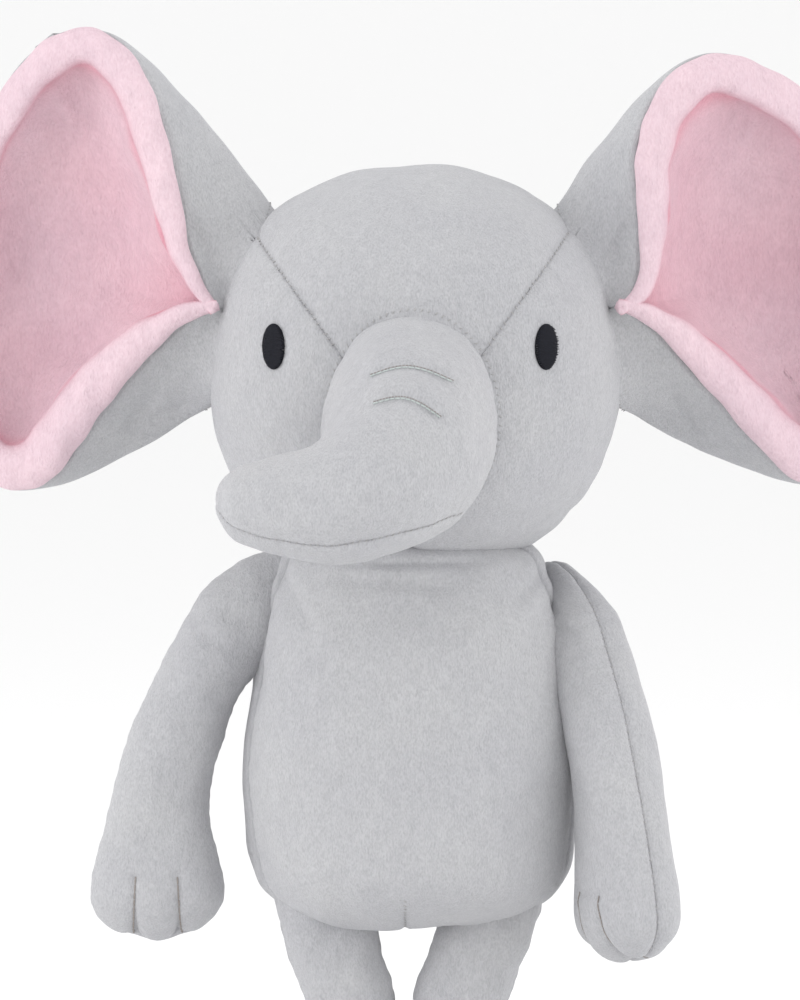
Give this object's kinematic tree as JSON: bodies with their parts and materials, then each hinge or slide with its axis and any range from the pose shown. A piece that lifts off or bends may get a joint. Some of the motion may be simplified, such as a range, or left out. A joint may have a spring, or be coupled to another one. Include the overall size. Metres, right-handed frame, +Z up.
{
  "type": "stuffed elephant",
  "caption": "Soft stuffed elephant standing on two feet, with a trunk curled to one side, wide cupped ears and hanging arms.",
  "frame": {"origin": "on the floor, under the middle of the whole toy", "axes": "+Z up, -Y the way the face looks, +X the elephant's own left"},
  "size_m": [0.376, 0.192, 0.4416],
  "materials": {
    "grey_plush": "matte",
    "pink_plush": "matte",
    "polyester_fill": "matte",
    "black_thread": "matte",
    "pale_thread": "matte",
    "grey_thread": "matte",
    "label_ribbon": "matte"
  },
  "bodies": {
    "torso": {"body_front_panel": "grey_plush", "body_back_panel_left": "grey_plush", "body_back_panel_right": "grey_plush", "body_stuffing": "polyester_fill", "closing_stitches": "grey_thread", "care_label": "label_ribbon"},
    "neck": {"neck_stuffing": "polyester_fill"},
    "head": {"forehead_panel": "grey_plush", "cheek_panel_left": "grey_plush", "cheek_panel_right": "grey_plush", "head_back_panel_left": "grey_plush", "head_back_panel_right": "grey_plush", "head_stuffing": "polyester_fill", "eye_left": "black_thread", "eye_right": "black_thread"},
    "trunk": {"trunk_top_panel": "grey_plush", "trunk_underside_panel": "grey_plush", "trunk_stuffing": "polyester_fill", "trunk_wrinkle_stitches": "pale_thread"},
    "ear_left": {"ear_left_back": "grey_plush", "ear_left_batting": "polyester_fill", "ear_left_lining": "pink_plush"},
    "arm_left": {"arm_left_front_panel": "grey_plush", "arm_left_back_panel": "grey_plush", "arm_left_stuffing": "polyester_fill", "arm_left_toe_stitches": "grey_thread"},
    "leg_left": {"leg_left_front_panel": "grey_plush", "leg_left_back_panel": "grey_plush", "leg_left_sole": "grey_plush", "leg_left_stuffing": "polyester_fill", "leg_left_toe_stitches": "grey_thread"},
    "ear_right": {"ear_right_back": "grey_plush", "ear_right_batting": "polyester_fill", "ear_right_lining": "pink_plush"},
    "arm_right": {"arm_right_front_panel": "grey_plush", "arm_right_back_panel": "grey_plush", "arm_right_stuffing": "polyester_fill", "arm_right_toe_stitches": "grey_thread"},
    "leg_right": {"leg_right_front_panel": "grey_plush", "leg_right_back_panel": "grey_plush", "leg_right_sole": "grey_plush", "leg_right_stuffing": "polyester_fill", "leg_right_toe_stitches": "grey_thread"},
    "tail": {"tail": "grey_plush"}
  },
  "joints": [
    {"name": "neck_turn", "type": "hinge", "parent": "torso", "child": "neck", "pos_m": [0, 0.026, 0.2383], "axis": [0, 0, 1], "range_deg": [-30, 30], "stiffness_Nm_per_rad": 0.3},
    {"name": "head_nod", "type": "hinge", "parent": "neck", "child": "head", "pos_m": [0, 0.026, 0.2383], "axis": [1, 0, 0], "range_deg": [-12, 15], "stiffness_Nm_per_rad": 1.5},
    {"name": "trunk_lift", "type": "hinge", "parent": "head", "child": "trunk", "pos_m": [0.001, -0.018, 0.296], "axis": [-1, 0, 0], "range_deg": [-10, 11], "stiffness_Nm_per_rad": 0.4},
    {"name": "ear_left_fold", "type": "hinge", "parent": "head", "child": "ear_left", "pos_m": [0.07, 0.032, 0.336], "axis": [0, 0, 1], "range_deg": [-20, 20], "stiffness_Nm_per_rad": 0.1},
    {"name": "shoulder_left", "type": "hinge", "parent": "torso", "child": "arm_left", "pos_m": [0.06, 0.026, 0.222], "axis": [-1, 0, 0], "range_deg": [-40, 80], "stiffness_Nm_per_rad": 0.05},
    {"name": "hip_left", "type": "hinge", "parent": "torso", "child": "leg_left", "pos_m": [0.031, 0.026, 0.088], "axis": [-1, 0, 0], "range_deg": [-30, 65]},
    {"name": "ear_right_fold", "type": "hinge", "parent": "head", "child": "ear_right", "pos_m": [-0.07, 0.032, 0.336], "axis": [0, 0, -1], "range_deg": [-20, 20], "stiffness_Nm_per_rad": 0.1},
    {"name": "shoulder_right", "type": "hinge", "parent": "torso", "child": "arm_right", "pos_m": [-0.06, 0.026, 0.222], "axis": [-1, 0, 0], "range_deg": [-40, 80], "stiffness_Nm_per_rad": 0.05},
    {"name": "hip_right", "type": "hinge", "parent": "torso", "child": "leg_right", "pos_m": [-0.031, 0.026, 0.088], "axis": [-1, 0, 0], "range_deg": [-30, 65]},
    {"name": "tail_swing", "type": "hinge", "parent": "torso", "child": "tail", "pos_m": [0, 0.078, 0.13], "axis": [1, 0, 0], "range_deg": [-10, 60]}
  ]
}
